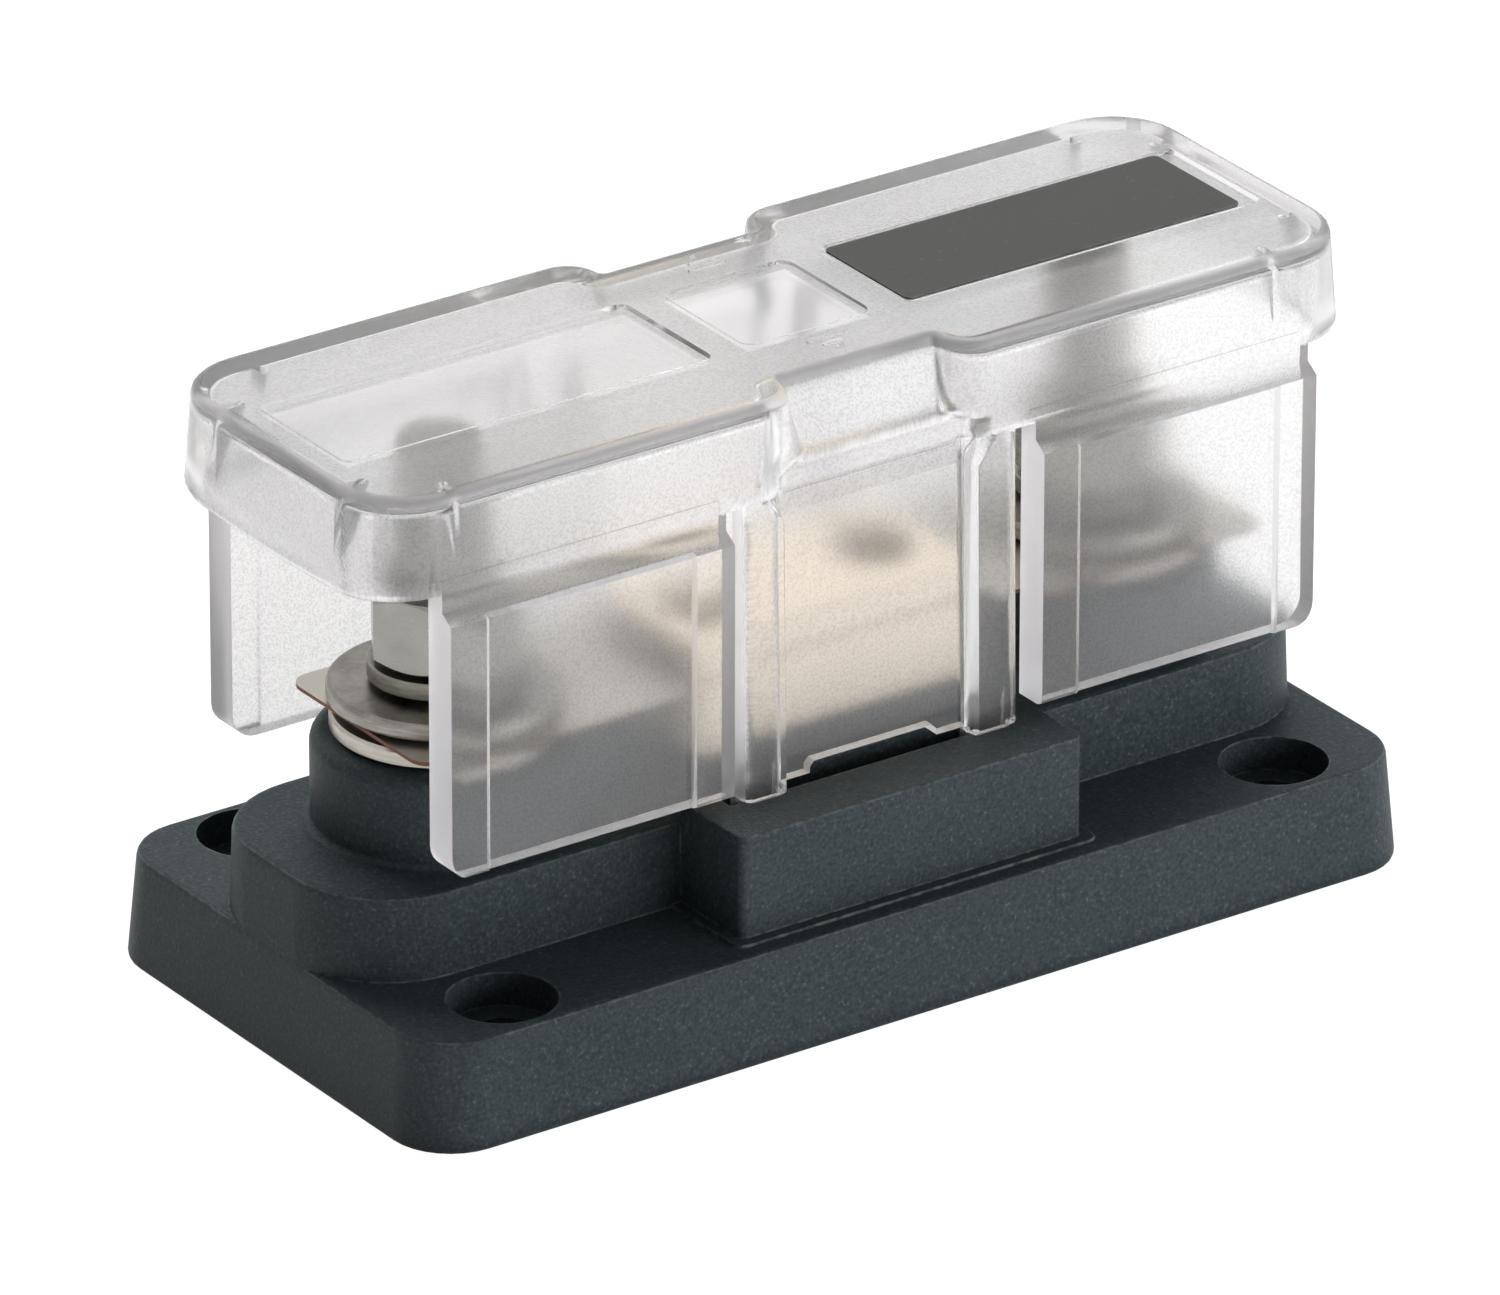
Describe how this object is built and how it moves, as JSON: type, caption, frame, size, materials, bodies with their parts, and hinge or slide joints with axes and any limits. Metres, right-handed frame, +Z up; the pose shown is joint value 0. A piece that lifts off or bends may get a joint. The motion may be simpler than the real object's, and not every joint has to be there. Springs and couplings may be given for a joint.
{
  "type": "anl fuse holder",
  "caption": "Surface-mount holder for a bolt-down fuse: black base with terminal studs and a clear clip-on cover with a label.",
  "frame": {"origin": "middle of the base's underside", "axes": "+X along the length towards the labelled lobe, +Z up through the cover"},
  "size_m": [0.13, 0.0642, 0.0715],
  "materials": {
    "black_nylon": "fine moulded grain",
    "clear_polycarbonate": "clear, frosted inside",
    "dark_label": "satin printed film",
    "tinned_copper": "tin plated",
    "cream_body": "matte moulding",
    "rivet_brass": "dull",
    "zinc_steel": "zinc plated",
    "plug_plastic": "matte"
  },
  "bodies": {
    "holder": {"base": "black_nylon", "contact_plate_left": "tinned_copper", "contact_plate_right": "tinned_copper", "fuse_strip": "tinned_copper", "fuse_body_lower": "cream_body", "fuse_body_upper": "cream_body", "fuse_rivet_left": "rivet_brass", "fuse_rivet_right": "rivet_brass", "flat_washer_left": "zinc_steel", "flat_washer_right": "zinc_steel", "spring_washer_left": "zinc_steel", "spring_washer_right": "zinc_steel", "stud_left": "zinc_steel", "stud_right": "zinc_steel", "stud_plug_left": "plug_plastic", "stud_plug_right": "plug_plastic"},
    "lid": {"cover": "clear_polycarbonate", "label": "dark_label"},
    "nut_left": {"hex_nut_left": "zinc_steel"},
    "nut_right": {"hex_nut_right": "zinc_steel"}
  },
  "joints": [
    {"name": "cover_lift", "type": "slide", "parent": "holder", "child": "lid", "axis": [0, 0, 1], "range_m": [0, 0.055]},
    {"name": "nut_left_spin", "type": "hinge", "parent": "holder", "child": "nut_left", "pos_m": [-0.0422, 0, 0.046], "axis": [0, 0, 1], "continuous": true},
    {"name": "nut_right_spin", "type": "hinge", "parent": "holder", "child": "nut_right", "pos_m": [0.0422, 0, 0.046], "axis": [0, 0, 1], "continuous": true}
  ]
}
